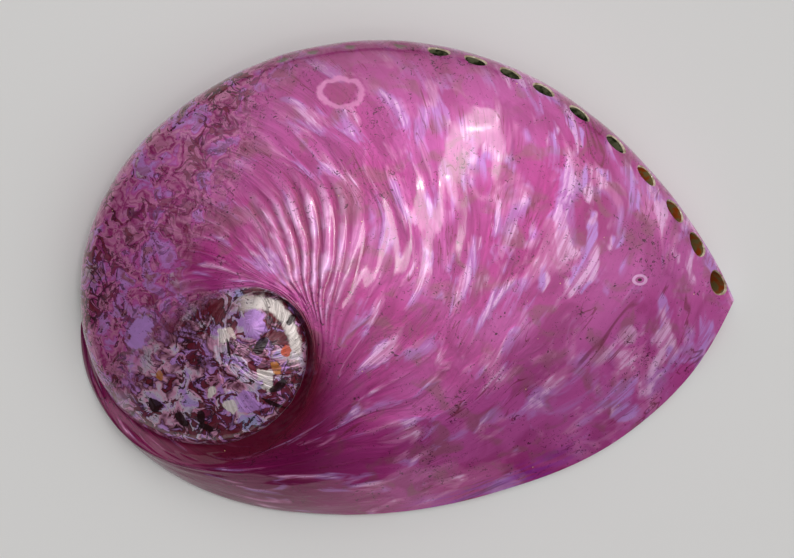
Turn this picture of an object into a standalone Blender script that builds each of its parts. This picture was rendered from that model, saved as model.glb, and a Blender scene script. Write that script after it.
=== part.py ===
# Polished abalone shell, lying on its rim with its back up.
# One shell grown in one piece: a flat open spiral with a row of open holes along its high edge,
# hollow underneath, with a broad flat ledge inside the edge below the holes.
# The numbers below are in millimetres and degrees. The mesh is made in metres.

import itertools
import math

import bmesh
import bpy
import numpy as np
from mathutils import Matrix, Vector
from mathutils.bvhtree import BVHTree

MM = 0.001

# Where the spiral starts, seen from above, and the height of its top
APEX_X = -33.9
APEX_Y = -9.88
APEX_HEIGHT = 26.0

# The axis of the spiral leans, so that the wide turns lie a little off the apex
LEAN_X = 3.4
LEAN_Y = -5.0
LEAN_RADIUS = 24.0

# Direction of the pointed front end, counter-clockwise from +X
TIP_ANGLE = 5.7

# Widest line of the shell: pairs of angle back along the spiral from the front end, and radius
COIL = [
    (0.0, 105.7),
    (20.0, 93.4),
    (40.0, 83.6),
    (60.0, 74.0),
    (80.0, 65.0),
    (100.0, 57.4),
    (120.0, 52.1),
    (160.0, 43.8),
    (200.0, 36.6),
    (240.0, 26.2),
    (280.0, 18.2),
    (320.0, 13.4),
    (360.0, 10.9),
    (420.0, 8.6),
    (480.0, 6.4),
    (560.0, 4.2),
]

# Newest growth line, which is the outer lip: pairs of angle clockwise from the front end, and radius
LIP = [
    (0.0, 105.7),
    (10.0, 95.4),
    (20.0, 83.3),
    (40.0, 60.8),
    (60.0, 47.9),
    (80.0, 41.0),
    (100.0, 38.0),
    (130.0, 37.5),
    (150.0, 39.2),
    (175.0, 42.4),
    (200.0, 43.8),
]
LIP_SPAN = 200.0
OVERLAP = 160.0

# Height of the widest line: a leaning cone below the apex
CONE_SLOPE = 0.3713
CONE_LEAN = 0.27
CONE_TOWARDS = 58.0

# Swelling of each turn between its two edges, and the rounded shoulder at its outer edge
SWELL = 0.10
SWELL_PLACE = 0.42
SEAM_GROOVE = 30.0
APEX_FADE = 120.0
SHOULDER_RISE = 3.4
SHOULDER_WIDTH = 5.6
LIP_FADE = 38.0

# Outer edge of the lip, side wall under the holes, rim and ledge on the underside
EDGE_HEIGHT = 1.3
TIP_LIFT = 2.9
TIP_SPREAD = 9.0
EDGE_INSET = 0.5
WALL_TUCK = 0.30
SEAM_RISE = 25.0
WALL_THICKNESS = 2.4
RIM_WIDTH = 2.3
LEDGE_WIDTH = 6.0
INSIDE_SMOOTHING = 3.5
EVENING_PASSES = 12

# Thinnest wall kept over the hollow, and how often the hollow is lowered and measured again
LEAST_WALL = 1.3
LOWERING_PASSES = 12
ABOVE_ALL = 100.0

# Mesh steps
TURN_STEP = 5.0
OLDEST = 440.0
SEAM_ROW_STEP = 10.0
MIDDLE_ROW_STEP = 7.0
FRONT_ROW_STEP = 4.5
EDGE_ROWS = [5.5, 3.5, 2.0, 0.9, 0.0]
WALL_ROWS = 4
INSIDE_ROWS = 15

# Open holes, newest first, each set by its angle back from the front end, as the animal spaced them
HOLE_ANGLES = (2.4, 7.8, 12.9, 18.8, 24.7, 31.2, 37.3, 42.7, 48.2, 54.0)
HOLE_INSET = 2.0
HOLE_HALF_LENGTH = (3.0, 2.1)
HOLE_HALF_WIDTH = (1.7, 1.3)
HOLE_DEPTH = 10.5
HOLE_ABOVE_RIM = 1.8
HOLE_CLEARANCE = 4.0
HOLE_SIDES = 20

# Older holes that the animal sealed, left as shallow pits
PIT_ANGLES = (60.3, 68.6, 75.3, 80.9)
PIT_INSET = 1.7
PIT_SIZE = (1.7, 1.1, 0.45)
PIT_SIDES = 12


def clear_scene():
    for old in list(bpy.data.objects):
        bpy.data.objects.remove(old, do_unlink=True)


def smooth_step(value):
    value = np.clip(value, 0.0, 1.0)
    return value * value * (3.0 - 2.0 * value)


def curve_through(stations, position):
    """Smooth curve of the logarithm through (angle, radius) pairs, straight beyond its ends."""
    angles = np.array([station[0] for station in stations])
    values = np.log([station[1] for station in stations])
    slopes = np.gradient(values, angles)
    place = np.asarray(position, dtype=float)
    index = np.clip(np.searchsorted(angles, place, side="right") - 1, 0, len(angles) - 2)
    gap = angles[index + 1] - angles[index]
    part = np.clip((place - angles[index]) / gap, 0.0, 1.0)
    rise = values[index + 1] - values[index]
    bend = part * (1.0 - part)
    start_pull = bend * (1.0 - part) * (gap * slopes[index] - rise)
    end_pull = bend * part * (gap * slopes[index + 1] - rise)
    inside = values[index] + part * rise + start_pull - end_pull
    before = np.minimum(place - angles[0], 0.0) * slopes[0]
    after = np.maximum(place - angles[-1], 0.0) * slopes[-1]
    return np.exp(inside + before + after)


def coil_radius(back):
    """Radius of the widest line at an angle back from the front end."""
    return curve_through(COIL, back)


def coil_angle(radius):
    """Angle back at which the widest line has the given radius."""
    angles = np.linspace(-60.0, 600.0, 2641)
    return np.interp(-np.asarray(radius), -coil_radius(angles), angles)


def lip_radius(ahead):
    """Radius of the lip at an angle clockwise from the front end."""
    return curve_through(LIP, ahead)


def cone_height(radius, angle):
    lean = CONE_LEAN * np.cos(np.radians(angle - CONE_TOWARDS))
    return APEX_HEIGHT - radius * (CONE_SLOPE - lean)


def shoulder_rise(radius, edge_radius):
    """Quarter-round that lifts the back above the widest line."""
    rise = SHOULDER_RISE * edge_radius / (edge_radius + 12.0)
    width = SHOULDER_WIDTH * edge_radius / (edge_radius + 25.0)
    inward = np.clip((edge_radius - radius) / width, 0.0, 1.0)
    return rise * np.sqrt(1.0 - (1.0 - inward) ** 2)


def free_height(age, ahead):
    """Height of the back before its newest edge is brought down to the rim."""
    radius = coil_radius(coil_angle(lip_radius(ahead)) + age)
    angle = TIP_ANGLE + age - ahead
    edge_radius = coil_radius(age - ahead)
    across = (np.clip(ahead, 0.0, LIP_SPAN) / LIP_SPAN) ** SWELL_PLACE
    swell = SWELL * radius * np.sin(math.pi * across)
    shoulder = shoulder_rise(radius, edge_radius) * smooth_step((LIP_SPAN - ahead) / SEAM_GROOVE)
    relief = smooth_step((OLDEST + APEX_FADE / 6 - age) / APEX_FADE)
    return cone_height(radius, angle) + relief * (swell + shoulder)


def edge_height(off_tip):
    """Height of the outer edge of the rim, which lifts at the pointed front end."""
    return EDGE_HEIGHT + TIP_LIFT * np.exp(-((off_tip / TIP_SPREAD) ** 2))


def back_point(age, ahead):
    """Point of the back as (radius, angle, height), age degrees behind the lip."""
    radius = coil_radius(coil_angle(lip_radius(ahead)) + age)
    angle = TIP_ANGLE + age - ahead
    fade = np.clip(1.0 - age / LIP_FADE, 0.0, 1.0) ** 2
    height = free_height(age, ahead) - fade * (free_height(0.0, ahead) - edge_height(ahead))
    return radius, angle, height


def wall_point(back, down):
    """Point of the side wall, from the widest line at down = 0 to the rim at down = 1."""
    radius = coil_radius(back)
    top = cone_height(radius, TIP_ANGLE + back)
    foot = edge_height(back)
    tuck = WALL_TUCK * max(top - foot, 0.0)
    height = top + (foot - top) * down
    return radius - tuck * down ** 1.6, TIP_ANGLE + back, height


def placed(radius, angle, height):
    """Point in millimetres, with the lean of the spiral's axis."""
    lean = radius * radius / (radius * radius + LEAN_RADIUS * LEAN_RADIUS)
    x = APEX_X + LEAN_X * lean + radius * math.cos(math.radians(angle))
    y = APEX_Y + LEAN_Y * lean + radius * math.sin(math.radians(angle))
    return Vector((x, y, height))


class Sheet:
    """Collects points and faces, and skips the points that a face repeats."""

    def __init__(self):
        self.points = []
        self.faces = []

    def point(self, radius, angle, height):
        self.points.append(placed(float(radius), float(angle), float(height)))
        return len(self.points) - 1

    def face(self, *corners):
        kept = [c for i, c in enumerate(corners) if c != corners[i - 1]]
        if len(kept) > 2:
            self.faces.append(kept)

    def strip(self, first, second):
        for i in range(len(first) - 1):
            self.face(first[i], second[i], second[i + 1], first[i + 1])

    def ring(self, first, second):
        self.strip(first + first[:1], second + second[:1])


def seam_down(age):
    """How far down the older turn's wall the seam lies: at the rim on the lip, then rising."""
    return float(1.0 - smooth_step(age / SEAM_RISE))


def growth_rows():
    """Places along a growth line, from the seam to the widest line."""
    near_seam = list(np.arange(LIP_SPAN, 110.0, -SEAM_ROW_STEP))
    middle = list(np.arange(near_seam[-1] - MIDDLE_ROW_STEP, 38.0, -MIDDLE_ROW_STEP))
    front = list(np.arange(middle[-1] - FRONT_ROW_STEP, EDGE_ROWS[0] + 2.0, -FRONT_ROW_STEP))
    return near_seam + middle + front + EDGE_ROWS


def outer_sheet(sheet):
    """Makes the back and the side wall. Returns the points of the lower edge and their angles."""
    rows = growth_rows()
    columns = int(OLDEST / TURN_STEP)
    overlap = int(OVERLAP / TURN_STEP)
    walled = overlap + int(SEAM_RISE / TURN_STEP)
    grid = []
    for i in range(columns + 1):
        age = i * TURN_STEP
        column = [sheet.point(*wall_point(age + OVERLAP, seam_down(age)))]
        column += [sheet.point(*back_point(age, ahead)) for ahead in rows[1:-1]]
        widest = grid[i - overlap][0] if i >= walled else sheet.point(*back_point(age, 0.0))
        grid.append(column + [widest])
    walls = []
    for i in range(columns + 1):
        age = i * TURN_STEP
        top = grid[i][-1]
        if i == 0 or i >= walled:
            walls.append([top] * (WALL_ROWS + 1))
            continue
        reach = seam_down(max(age - OVERLAP, 0.0))
        steps = [reach * m / WALL_ROWS for m in range(1, WALL_ROWS + 1)]
        wall = [top] + [sheet.point(*wall_point(age, down)) for down in steps[:-1]]
        foot = grid[i - overlap][0] if i >= overlap else sheet.point(*wall_point(age, 1.0))
        walls.append(wall + [foot])
    for i in range(columns):
        sheet.strip(grid[i], grid[i + 1])
        sheet.strip(walls[i], walls[i + 1])
    close_apex(sheet, grid, overlap)
    lip_angles = [TIP_ANGLE - ahead for ahead in rows]
    base_angles = [TIP_ANGLE + i * TURN_STEP for i in range(1, overlap)]
    return grid[0] + [walls[i][-1] for i in range(1, overlap)], lip_angles + base_angles


def close_apex(sheet, grid, overlap):
    """Fills the start of the spiral with a fan around its top point."""
    top = sheet.point(0.0, 0.0, APEX_HEIGHT + 0.4)
    seams = [grid[i][0] for i in range(len(grid) - 1 - overlap, len(grid))]
    edge = seams + grid[-1][1:]
    for i in range(len(edge) - 1):
        sheet.face(edge[i], edge[i + 1], top)


def outer_profile(angle):
    """Outer surface cut through the apex at one angle: radii and heights from rim to apex."""
    radii = []
    heights = []
    back = (angle - TIP_ANGLE) % 360.0
    if back < OVERLAP:
        for down in np.linspace(1.0, 0.0, 12):
            radius, _, height = wall_point(back, down)
            radii.append(radius)
            heights.append(height)
    for turn in (-1, 0, 1):
        start = back + 360.0 * turn
        ahead = np.linspace(max(0.0, -start), LIP_SPAN, 161)
        ahead = ahead[start + ahead <= OLDEST]
        if start + LIP_SPAN <= 0.0 or len(ahead) == 0:
            continue
        radius, _, height = back_point(start + ahead, ahead)
        radii += list(radius)
        heights += list(height)
    return np.array(radii + [0.0]), np.array(heights + [APEX_HEIGHT])


def smoothed(values, reach):
    """Running average that keeps both ends in place."""
    weights = np.hanning(2 * reach + 3)[1:-1]
    padded = np.pad(values, reach, mode="reflect", reflect_type="odd")
    return np.convolve(padded, weights / weights.sum(), mode="valid")


def resampled(radii, heights, count, first_step):
    """The same line with count points, closer together at its start."""
    along = np.concatenate([[0.0], np.cumsum(np.hypot(np.diff(radii), np.diff(heights)))])
    steps = np.linspace(0.0, 1.0, count)
    places = along[-1] * (first_step * steps + (1.0 - first_step) * steps ** 2)
    return np.interp(places, along, radii), np.interp(places, along, heights)


def inside_profile(angle, start_radius, ledge):
    """Inner surface at one angle, from the rim's inner edge to the middle."""
    radii, heights = outer_profile(angle)
    radii, heights = resampled(radii, heights, 240, 1.0)
    spacing = math.hypot(radii[1] - radii[0], heights[1] - heights[0])
    reach = int(INSIDE_SMOOTHING / spacing)
    radii = smoothed(radii, reach)
    heights = smoothed(heights, reach)
    out = np.gradient(radii)
    up = np.gradient(heights)
    size = np.hypot(out, up)
    inner_radii = radii - WALL_THICKNESS * up / size
    inner_heights = heights + WALL_THICKNESS * out / size
    clear = (inner_heights > 0.6 + 0.4 * ledge) & (inner_radii < start_radius - 0.3 + 1.1 * ledge)
    first = int(np.argmax(clear))
    inner_radii = np.concatenate([[start_radius], np.maximum(inner_radii[first:], 0.0)])
    inner_heights = np.concatenate([[0.0], inner_heights[first:]])
    return resampled(inner_radii, inner_heights, INSIDE_ROWS + 1, 0.35)


def ledge_width(angle):
    """Width of the flat ledge under the holes, none along the lip."""
    back = (angle - TIP_ANGLE) % 360.0
    if back >= OVERLAP:
        return 0.0
    return LEDGE_WIDTH * math.sin(math.pi * back / OVERLAP) ** 0.7


def evened(profiles):
    """Inner profiles averaged with their neighbours, except along the rim."""
    for _ in range(EVENING_PASSES):
        beside = np.roll(profiles, 1, axis=0) + np.roll(profiles, -1, axis=0)
        profiles[:, :, 1:] = 0.5 * profiles[:, :, 1:] + 0.25 * beside[:, :, 1:]
    return profiles


def wall_left(outside, place):
    """Distance from a point of the hollow to the outside, below zero once it is through."""
    above = Vector((place.x, place.y, ABOVE_ALL))
    top = outside.ray_cast(above, Vector((0.0, 0.0, -1.0)))[0]
    distance = outside.find_nearest(place)[3]
    return distance if top is None or top.z > place.z else -distance


def keep_wall(points, outside, hollow):
    """Lowers the hollow until enough wall is left over its corners, edges and faces."""
    groups = set()
    for face in hollow:
        groups.update((corner,) for corner in face)
        groups.update(itertools.combinations(sorted(face), 2))
        groups.add(tuple(face))
    for _ in range(LOWERING_PASSES):
        drops = {}
        for group in groups:
            middle = sum((points[corner] for corner in group), Vector()) / len(group)
            short = LEAST_WALL - wall_left(outside, middle)
            for corner in group:
                drops[corner] = max(short, drops.get(corner, 0.0))
        for corner, drop in drops.items():
            points[corner].z = max(points[corner].z - drop, 0.0)


def inner_sheet(sheet, lower_edge, angles):
    """Makes the flat rim and the hollow of the underside from the lower edge inwards."""
    outside = BVHTree.FromPolygons(sheet.points, sheet.faces)
    outer_rim = []
    profiles = []
    columns = []
    for angle in angles:
        back = (angle - TIP_ANGLE) % 360.0
        if back < OVERLAP:
            radius = wall_point(back, 1.0)[0]
        else:
            radius = float(lip_radius(TIP_ANGLE - angle))
        ledge = ledge_width(angle)
        outer_rim.append(sheet.point(radius - EDGE_INSET, angle, 0.0))
        inner_radius = radius - EDGE_INSET - RIM_WIDTH - ledge
        profiles.append(inside_profile(angle, inner_radius, ledge))
    profiles = evened(np.array(profiles))
    for angle, (radii, heights) in zip(angles, profiles):
        columns.append([sheet.point(r, angle, h) for r, h in zip(radii[:-1], heights[:-1])])
    sheet.ring(lower_edge, outer_rim)
    sheet.ring(outer_rim, [column[0] for column in columns])
    hollow = len(sheet.faces)
    for k in range(INSIDE_ROWS - 1):
        sheet.ring([column[k] for column in columns], [column[k + 1] for column in columns])
    middle = sheet.point(0.0, 0.0, APEX_HEIGHT - WALL_THICKNESS)
    last = [column[-1] for column in columns]
    for i in range(len(last)):
        sheet.face(last[i - 1], middle, last[i])
    keep_wall(sheet.points, outside, sheet.faces[hollow:])


def mesh_object(name, sheet):
    mesh = bpy.data.meshes.new(name)
    mesh.from_pydata([point * MM for point in sheet.points], [], sheet.faces)
    mesh.update()
    shape = bmesh.new()
    shape.from_mesh(mesh)
    bmesh.ops.triangulate(shape, faces=shape.faces[:])
    bmesh.ops.recalc_face_normals(shape, faces=shape.faces[:])
    shape.to_mesh(mesh)
    shape.free()
    item = bpy.data.objects.new(name, mesh)
    bpy.context.scene.collection.objects.link(item)
    return item


def surface_near_edge(back, inset):
    """Point of the back at one angle, a given distance inside the widest line."""
    ahead = np.linspace(0.0, 40.0, 401)
    radius, _, height = back_point(back + ahead, ahead)
    wanted = coil_radius(back) - inset
    return placed(wanted, TIP_ANGLE + back, float(np.interp(-wanted, -radius, height)))


def hole_frame(back, inset):
    """Matrix at a hole: X along the row of holes, Z out of the shell."""
    centre = surface_near_edge(back, inset)
    along = surface_near_edge(back + 1.0, inset) - surface_near_edge(back - 1.0, inset)
    across = surface_near_edge(back, inset - 0.7) - surface_near_edge(back, inset + 0.7)
    along.normalize()
    normal = across.cross(along).normalized()
    if normal.z < 0.0:
        normal.negate()
    side = normal.cross(along)
    frame = Matrix((along, side, normal)).transposed().to_4x4()
    frame.translation = centre * MM
    return frame


def cut_hole(shape, back, share):
    """Adds an oval cylinder through the shell. Its share runs from 0 at the newest hole to 1."""
    half_length = HOLE_HALF_LENGTH[0] + share * (HOLE_HALF_LENGTH[1] - HOLE_HALF_LENGTH[0])
    half_width = HOLE_HALF_WIDTH[0] + share * (HOLE_HALF_WIDTH[1] - HOLE_HALF_WIDTH[0])
    frame = hole_frame(back, HOLE_INSET)
    depth = min(HOLE_DEPTH, frame.translation.z / MM - HOLE_ABOVE_RIM)
    size = Matrix.Diagonal((half_length * MM, half_width * MM, (depth + HOLE_CLEARANCE) * MM, 1.0))
    middle = Matrix.Translation((0.0, 0.0, (HOLE_CLEARANCE - depth) / 2 * MM))
    bmesh.ops.create_cone(
        shape,
        cap_ends=True,
        segments=HOLE_SIDES,
        radius1=1.0,
        radius2=1.0,
        depth=1.0,
        matrix=frame @ middle @ size,
    )


def cut_pit(shape, back):
    """Adds a flat egg, half sunk in the back, for a sealed hole."""
    bmesh.ops.create_uvsphere(
        shape,
        u_segments=PIT_SIDES,
        v_segments=PIT_SIDES // 2,
        radius=MM,
        matrix=hole_frame(back, PIT_INSET) @ Matrix.Diagonal((*PIT_SIZE, 1.0)),
    )


def hole_cutters():
    """One object with the shapes that are cut out along the row of holes."""
    shape = bmesh.new()
    for i, back in enumerate(HOLE_ANGLES):
        cut_hole(shape, back, i / (len(HOLE_ANGLES) - 1))
    for back in PIT_ANGLES:
        cut_pit(shape, back)
    mesh = bpy.data.meshes.new("hole_cutters")
    shape.to_mesh(mesh)
    shape.free()
    cutters = bpy.data.objects.new("hole_cutters", mesh)
    cutters.hide_render = True
    cutters.display_type = "WIRE"
    bpy.context.scene.collection.objects.link(cutters)
    return cutters


def nacre_material():
    material = bpy.data.materials.new("dyed_nacre")
    material.use_nodes = True
    surface = material.node_tree.nodes["Principled BSDF"]
    surface.inputs["Base Color"].default_value = (0.40, 0.07, 0.22, 1.0)
    surface.inputs["Metallic"].default_value = 0.3
    surface.inputs["Roughness"].default_value = 0.2
    return material


def build_shell():
    sheet = Sheet()
    lower_edge, angles = outer_sheet(sheet)
    inner_sheet(sheet, lower_edge, angles)
    shell = mesh_object("shell", sheet)
    shell.data.materials.append(nacre_material())
    cut = shell.modifiers.new("holes", "BOOLEAN")
    cut.operation = "DIFFERENCE"
    cut.solver = "EXACT"
    cut.object = hole_cutters()
    return shell


clear_scene()
build_shell()
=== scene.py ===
import math

import bmesh
import bpy
import numpy as np
from mathutils import Matrix, Vector, noise
from mathutils.bvhtree import BVHTree


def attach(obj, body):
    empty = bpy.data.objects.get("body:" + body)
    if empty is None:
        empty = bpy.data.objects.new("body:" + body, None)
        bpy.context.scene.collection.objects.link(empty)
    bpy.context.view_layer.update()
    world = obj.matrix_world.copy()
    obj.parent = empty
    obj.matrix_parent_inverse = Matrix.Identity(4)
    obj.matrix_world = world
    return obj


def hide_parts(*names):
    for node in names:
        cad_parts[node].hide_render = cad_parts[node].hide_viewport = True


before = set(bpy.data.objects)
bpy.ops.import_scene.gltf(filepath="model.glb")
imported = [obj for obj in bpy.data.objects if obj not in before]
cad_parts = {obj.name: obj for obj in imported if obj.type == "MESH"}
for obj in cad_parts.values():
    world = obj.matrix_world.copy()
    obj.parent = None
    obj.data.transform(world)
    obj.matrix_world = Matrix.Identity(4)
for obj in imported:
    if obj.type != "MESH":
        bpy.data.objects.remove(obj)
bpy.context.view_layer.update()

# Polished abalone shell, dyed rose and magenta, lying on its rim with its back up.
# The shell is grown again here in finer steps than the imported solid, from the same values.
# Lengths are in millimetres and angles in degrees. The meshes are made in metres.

MM = 0.001

# Where the spiral starts, seen from above, and the height of its top
APEX_X = -33.9
APEX_Y = -9.88
APEX_HEIGHT = 26.0

# The axis of the spiral leans, so that the wide turns lie a little off the apex
LEAN_X = 3.4
LEAN_Y = -5.0
LEAN_RADIUS = 24.0

# Direction of the pointed front end, counter-clockwise from +X
TIP_ANGLE = 5.7

# Widest line of the shell: pairs of angle back along the spiral from the front end, and radius
COIL = [
    (0.0, 105.7),
    (20.0, 93.4),
    (40.0, 83.6),
    (60.0, 74.0),
    (80.0, 65.0),
    (100.0, 57.4),
    (120.0, 52.1),
    (160.0, 43.8),
    (200.0, 36.6),
    (240.0, 26.2),
    (280.0, 18.2),
    (320.0, 13.4),
    (360.0, 10.9),
    (420.0, 8.6),
    (480.0, 6.4),
    (560.0, 4.2),
]

# Newest growth line, the outer lip: pairs of angle clockwise from the front end, and radius
LIP = [
    (0.0, 105.7),
    (10.0, 95.4),
    (20.0, 83.3),
    (40.0, 60.8),
    (60.0, 47.9),
    (80.0, 41.0),
    (100.0, 38.0),
    (130.0, 37.5),
    (150.0, 39.2),
    (175.0, 42.4),
    (200.0, 43.8),
]

# Span of the lip from the front end to the older turns, and how far back it meets them
LIP_SPAN = 200.0
OVERLAP = 160

# Height of the widest line: a leaning cone below the apex
CONE_SLOPE = 0.3713
CONE_LEAN = 0.27
CONE_TOWARDS = 58.0

# Swelling of each turn between its two edges, and the rounded shoulder at its outer edge
SWELL = 0.10
SWELL_PLACE = 0.42
SEAM_GROOVE = 30.0
APEX_FADE = 120.0
LIP_FADE = 38.0
SHOULDER_RISE = 3.4
SHOULDER_WIDTH = 5.6
# Radius of the turn whose shoulder has half that rise, and of the one with half that width
HALF_RISE_RADIUS = 12.0
HALF_WIDTH_RADIUS = 25.0

# Outer edge of the lip, side wall under the holes, rim and ledge on the underside
EDGE_HEIGHT = 1.3
TIP_LIFT = 2.9
TIP_SPREAD = 9.0
EDGE_INSET = 0.5
WALL_TUCK = 0.30
WALL_CURVE = 1.6
APEX_CAP = 0.4
SEAM_RISE = 25
SEAM_BLEND = 10.0
WALL_THICKNESS = 2.4
RIM_WIDTH = 2.3
LEDGE_WIDTH = 6.0
LEDGE_TAPER = 0.7
INSIDE_SMOOTHING = 3.5
INSIDE_FIRST_STEP = 0.35

# Where the hollow starts above and inside the rim: a fixed part, and a part for each mm of ledge
HOLLOW_ABOVE = (0.6, 0.4)
HOLLOW_INSIDE = (-0.3, 1.1)

# Thinnest wall kept over the hollow, and how often the hollow is lowered and measured again
LEAST_WALL = 1.3
LOWERING_PASSES = 12
ABOVE_ALL = 100.0

# Mesh steps: columns are one degree of growth apart
OLDEST = 440
ROW_STEP = 1.25
SHOULDER_STEP = 0.55
SHOULDER_REACH = 5.0
WALL_ROWS = 10
EDGE_TURNS = (30.0, 60.0, 90.0)
INSIDE_ROWS = 30
EVENING_PASSES = 300

# Ages of the growth lines that the rows are spaced on and that lengths are measured on
ROW_AGE = 30.0
LENGTH_AGE = 80.0

# Marks that stand in for the growth off the back: at the wall's foot, the rim and the middle
WALL_MARK = -10.0
RIM_MARK = -20.0
MIDDLE_MARK = -60.0

# Size of the growth map's units against degrees and millimetres
GROWTH_SCALE = 0.01

# Open holes, newest first, each set by its angle back from the front end, as the animal spaced them
HOLE_ANGLES = (2.4, 7.8, 12.9, 18.8, 24.7, 31.2, 37.3, 42.7, 48.2, 54.0)
HOLE_INSET = 2.0
HOLE_HALF_LENGTH = (3.0, 2.1)
HOLE_HALF_WIDTH = (1.7, 1.3)
HOLE_DEPTH = 10.5
HOLE_ABOVE_RIM = 1.8
HOLE_SIDES = 40
HOLE_UNEVEN = (0.05, 0.04)
# Section of a hole's bevelled edge: pairs of height above the back and widening
HOLE_SECTION = ((2.5, 0.95), (0.55, 0.95), (-0.12, 0.28), (-0.42, 0.0))

# Older holes that the animal sealed, left as shallow pits
PIT_ANGLES = (60.3, 68.6, 75.3, 80.9)
PIT_INSET = 1.7
PIT_SIZE = (1.9, 1.2)
PIT_EDGE = 1.15
PIT_DEPTH = 0.45
PIT_NORTH = 40.0

# Low relief of the polished back, and its fade along the lip and along the seam
WAVE_HEIGHT = 0.16
WAVE_SIZE = (7.0, 18.0)
RIPPLE_HEIGHT = 0.02
RIPPLE_SIZE = 2.6
EYE_HEIGHT = 0.10
EYE_RING = (0.82, 0.28)
RELIEF_FADE = (6.0, 14.0)

# Silky folds beside the spire: their age, start and end along the growth line, each with a softness
FOLD_HEIGHT = 0.16
FOLD_PERIOD = 5.6
FOLD_AGE = (114.0, 17.0)
FOLD_START = (34.0, 16.0)
FOLD_END = (118.0, 35.0)
FOLD_BEND = (2.2, 21.0)
FOLD_SHIFT = 1.5
FOLD_SHIFT_SIZE = (5.6, 14.4)

# The pale ring on the back near the row of holes, as a place, half sizes and a turn
EYE_PLACE = (-14.2, 40.9)
EYE_SIZE = (5.6, 3.7)
EYE_TURN = -4.0

# Camera straight above, at the photograph's viewing angle
CAMERA_PLACE = (-2.13, 0.69, 450.0)
CAMERA_LENS = 88.9
SENSOR_WIDTH = 36.0

# Brightness of the room, by how far a direction points towards its brightest side
ROOM_TOWARDS = (0.38, 0.24, 0.89)
ROOM_DARK_AT = 0.33
ROOM_BRIGHT_AT = 0.93
ROOM_DARK = 0.03
ROOM_BRIGHT = 1.16
ROOM_COLOUR = (0.97, 0.98, 1.0, 1.0)

# Half the side of the floor, and the least angle of an edge that is drawn sharp
FLOOR_HALF = 1500.0
SHARP_ANGLE = 38.0

# Material slots of the shell's mesh
BACK, UNDERSIDE, HOLE_EDGE, HOLE_WALL = 0, 1, 2, 3


def smooth_step(value):
    value = np.clip(value, 0.0, 1.0)
    return value * value * (3.0 - 2.0 * value)


def bell(value, width):
    return np.exp(-((value / width) ** 2))


def curve_through(stations, position):
    """Smooth curve of the logarithm through (angle, radius) pairs, straight beyond its ends."""
    angles = np.array([station[0] for station in stations])
    values = np.log([station[1] for station in stations])
    slopes = np.gradient(values, angles)
    place = np.asarray(position, dtype=float)
    index = np.clip(np.searchsorted(angles, place, side="right") - 1, 0, len(angles) - 2)
    gap = angles[index + 1] - angles[index]
    part = np.clip((place - angles[index]) / gap, 0.0, 1.0)
    rise = values[index + 1] - values[index]
    bend = part * (1.0 - part)
    start_pull = bend * (1.0 - part) * (gap * slopes[index] - rise)
    end_pull = bend * part * (gap * slopes[index + 1] - rise)
    inside = values[index] + part * rise + start_pull - end_pull
    before = np.minimum(place - angles[0], 0.0) * slopes[0]
    after = np.maximum(place - angles[-1], 0.0) * slopes[-1]
    return np.exp(inside + before + after)


def coil_radius(back):
    """Radius of the widest line at an angle back from the front end."""
    return curve_through(COIL, back)


def coil_angle(radius):
    """Angle back at which the widest line has the given radius."""
    angles = np.linspace(-60.0, 600.0, 2641)
    return np.interp(-np.asarray(radius), -coil_radius(angles), angles)


def lip_radius(ahead):
    """Radius of the lip at an angle clockwise from the front end."""
    return curve_through(LIP, ahead)


def cone_height(radius, angle):
    lean = CONE_LEAN * np.cos(np.radians(angle - CONE_TOWARDS))
    return APEX_HEIGHT - radius * (CONE_SLOPE - lean)


def shoulder_rise(radius, edge_radius):
    """Quarter-round that lifts the back above the widest line."""
    rise = SHOULDER_RISE * edge_radius / (edge_radius + HALF_RISE_RADIUS)
    width = SHOULDER_WIDTH * edge_radius / (edge_radius + HALF_WIDTH_RADIUS)
    inward = np.clip((edge_radius - radius) / width, 0.0, 1.0)
    return rise * np.sqrt(1.0 - (1.0 - inward) ** 2)


def free_height(age, ahead):
    """Height of the back before its newest edge is brought down to the rim."""
    radius = coil_radius(coil_angle(lip_radius(ahead)) + age)
    angle = TIP_ANGLE + age - ahead
    edge_radius = coil_radius(age - ahead)
    across = (np.clip(ahead, 0.0, LIP_SPAN) / LIP_SPAN) ** SWELL_PLACE
    swell = SWELL * radius * np.sin(math.pi * across)
    shoulder = shoulder_rise(radius, edge_radius) * smooth_step((LIP_SPAN - ahead) / SEAM_GROOVE)
    strength = smooth_step((OLDEST + APEX_FADE / 6 - age) / APEX_FADE)
    return cone_height(radius, angle) + strength * (swell + shoulder)


def edge_height(off_tip):
    """Height of the outer edge of the rim, which lifts at the pointed front end."""
    return EDGE_HEIGHT + TIP_LIFT * bell(off_tip, TIP_SPREAD)


def back_point(age, ahead):
    """Point of the back as (radius, angle, height), age degrees behind the lip."""
    radius = coil_radius(coil_angle(lip_radius(ahead)) + age)
    angle = TIP_ANGLE + age - ahead
    fade = np.clip(1.0 - age / LIP_FADE, 0.0, 1.0) ** 2
    height = free_height(age, ahead) - fade * (free_height(0.0, ahead) - edge_height(ahead))
    return radius, angle, height


def wall_point(back, down):
    """Point of the side wall, from the widest line at down = 0 to the rim at down = 1."""
    radius = coil_radius(back)
    top = cone_height(radius, TIP_ANGLE + back)
    foot = edge_height(back)
    tuck = WALL_TUCK * np.maximum(top - foot, 0.0)
    height = top + (foot - top) * down
    return radius - tuck * down ** WALL_CURVE, TIP_ANGLE + back, height


def seam_down(age):
    """How far down the older turn's wall the seam lies: at the rim on the lip, then rising."""
    return float(1.0 - smooth_step(age / SEAM_RISE))


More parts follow.
